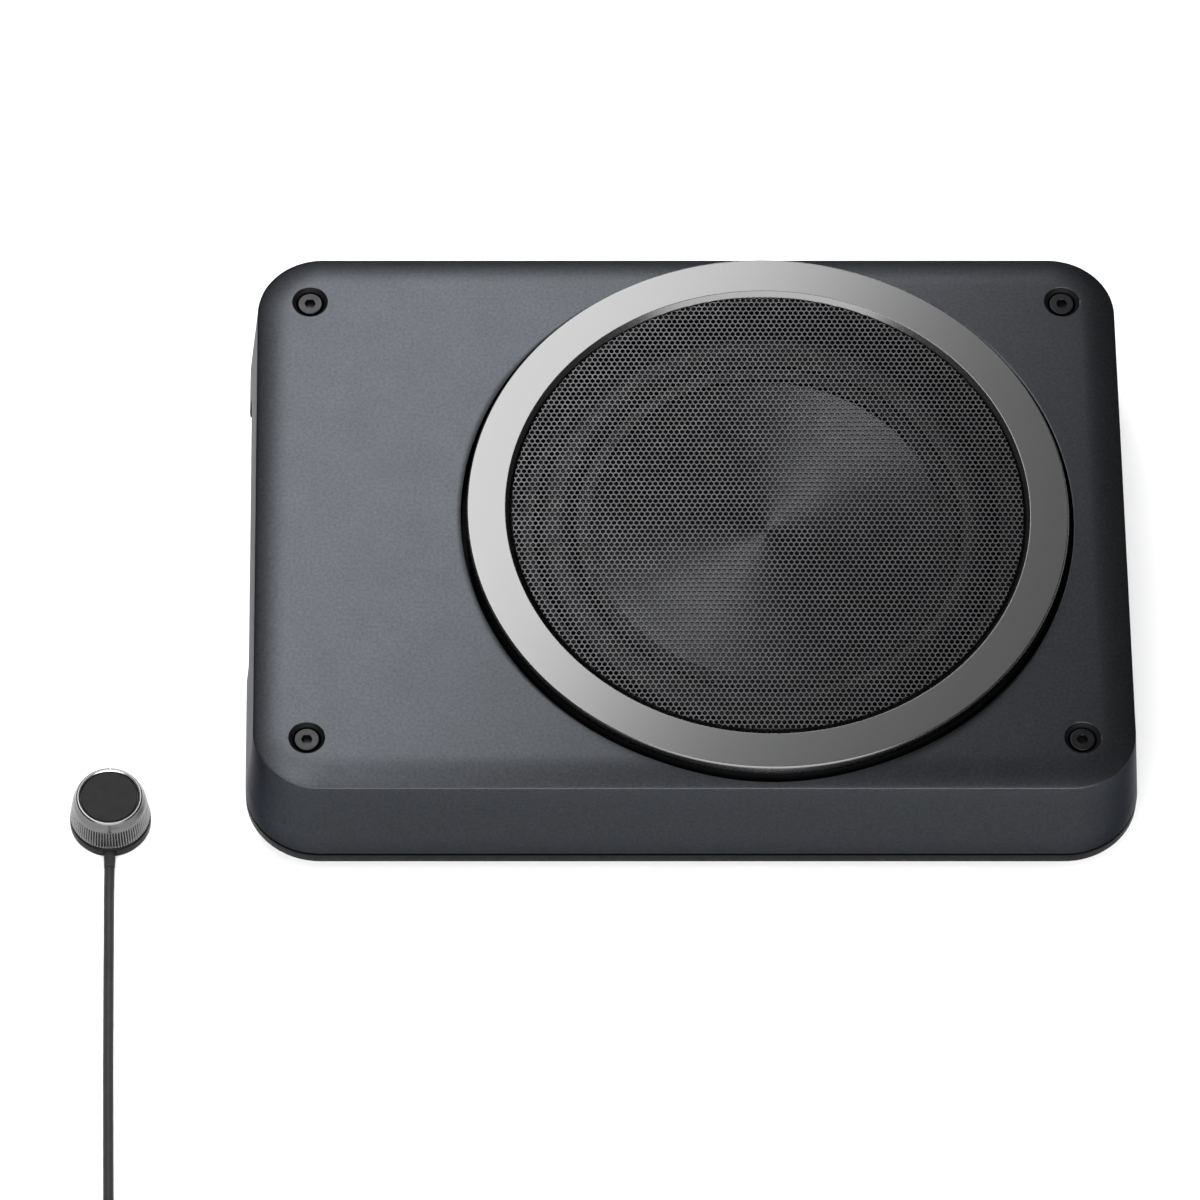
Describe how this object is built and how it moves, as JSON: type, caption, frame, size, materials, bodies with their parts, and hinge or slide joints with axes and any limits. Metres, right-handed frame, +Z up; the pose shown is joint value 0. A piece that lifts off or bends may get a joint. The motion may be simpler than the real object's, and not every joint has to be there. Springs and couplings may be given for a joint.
{
  "type": "powered car subwoofer",
  "caption": "Flat powered car subwoofer: drafted metallic case, grilled round driver in a metal ring, built-in amplifier, recessed connector bay and wired rotary bass control.",
  "frame": {"origin": "on the floor, at the middle of the box round the enclosure and the remote control without its free cord", "axes": "+X along the enclosure from its connector end to its driver end, +Y from its front to its back, +Z up"},
  "size_m": [0.4134, 0.4969, 0.0723],
  "materials": {
    "paint": "satin metallic paint, fine flake",
    "black_plastic": "finely textured black",
    "rubber": "matte black",
    "black_steel": "satin black coated steel",
    "ring_metal": "satin turned metal with polished edges",
    "steel": "plain steel",
    "aluminium": "bare or brushed",
    "cone_metal": "dark, circular brushed",
    "knob_metal": "satin turned, polished rim",
    "copper": "enamelled copper wire",
    "ferrite": "sintered ferrite",
    "board": "green circuit board",
    "cloth": "resin-stiffened cloth",
    "fuse_plastic": "translucent blue",
    "cord_jacket": "satin black jacket"
  },
  "bodies": {
    "housing": {"top_cover": "paint", "base_pan": "black_plastic", "cover_gasket": "rubber", "grille_plinth": "black_plastic", "trim_ring": "ring_metal", "grille_bezel": "black_plastic", "grille": "black_steel", "basket": "black_steel", "basket_gasket": "rubber", "surround": "rubber", "spider": "cloth", "front_plate": "steel", "magnet": "ferrite", "yoke": "steel", "driver_terminal": "black_plastic", "amplifier_board": "board", "heat_sink": "aluminium", "power_transistor_1": "black_plastic", "power_transistor_2": "black_plastic", "capacitor_1": "black_plastic", "capacitor_2": "black_plastic", "capacitor_3": "black_plastic", "choke_coil": "copper", "connector_panel": "black_plastic", "power_socket": "black_plastic", "input_socket": "black_plastic", "remote_jack": "black_plastic", "rca_jack_right": "steel", "rca_jack_left": "steel", "fuse": "fuse_plastic", "remote_base": "black_plastic", "remote_pad": "rubber", "remote_pot": "steel", "cord_relief": "rubber", "remote_cord": "cord_jacket", "cord_coil": "cord_jacket", "cord_tie": "black_plastic", "cord_plug": "black_plastic", "cover_screw_1": "black_steel", "foot_1": "rubber", "driver_screw_1": "black_steel", "cover_screw_2": "black_steel", "foot_2": "rubber", "driver_screw_2": "black_steel", "cover_screw_3": "black_steel", "foot_3": "rubber", "driver_screw_3": "black_steel", "cover_screw_4": "black_steel", "foot_4": "rubber", "driver_screw_4": "black_steel"},
    "cone": {"diaphragm": "cone_metal", "coil_former": "aluminium", "voice_coil": "copper"},
    "gain_control": {"gain_knob": "black_plastic"},
    "lowpass_control": {"lowpass_knob": "black_plastic"},
    "phase_slider": {"phase_switch": "black_plastic"},
    "bass_control": {"remote_knob": "knob_metal", "knob_cap": "black_plastic", "pot_shaft": "aluminium"}
  },
  "joints": [
    {"name": "cone_travel", "type": "slide", "parent": "housing", "child": "cone", "axis": [0, 0, 1], "range_m": [-0.006, 0.006], "stiffness_N_per_m": 2500, "deforming": ["surround", "spider"]},
    {"name": "gain_turn", "type": "hinge", "parent": "housing", "child": "gain_control", "pos_m": [-0.11453, -0.019, 0.019], "axis": [-1, 0, 0], "range_deg": [-135, 135]},
    {"name": "lowpass_turn", "type": "hinge", "parent": "housing", "child": "lowpass_control", "pos_m": [-0.11453, -0.0304, 0.019], "axis": [-1, 0, 0], "range_deg": [-135, 135]},
    {"name": "phase_slide", "type": "slide", "parent": "housing", "child": "phase_slider", "axis": [0, 1, 0], "range_m": [0, 0.0042]},
    {"name": "bass_turn", "type": "hinge", "parent": "housing", "child": "bass_control", "pos_m": [-0.19103, -0.099, 0], "axis": [0, 0, 1], "range_deg": [-150, 150]}
  ]
}
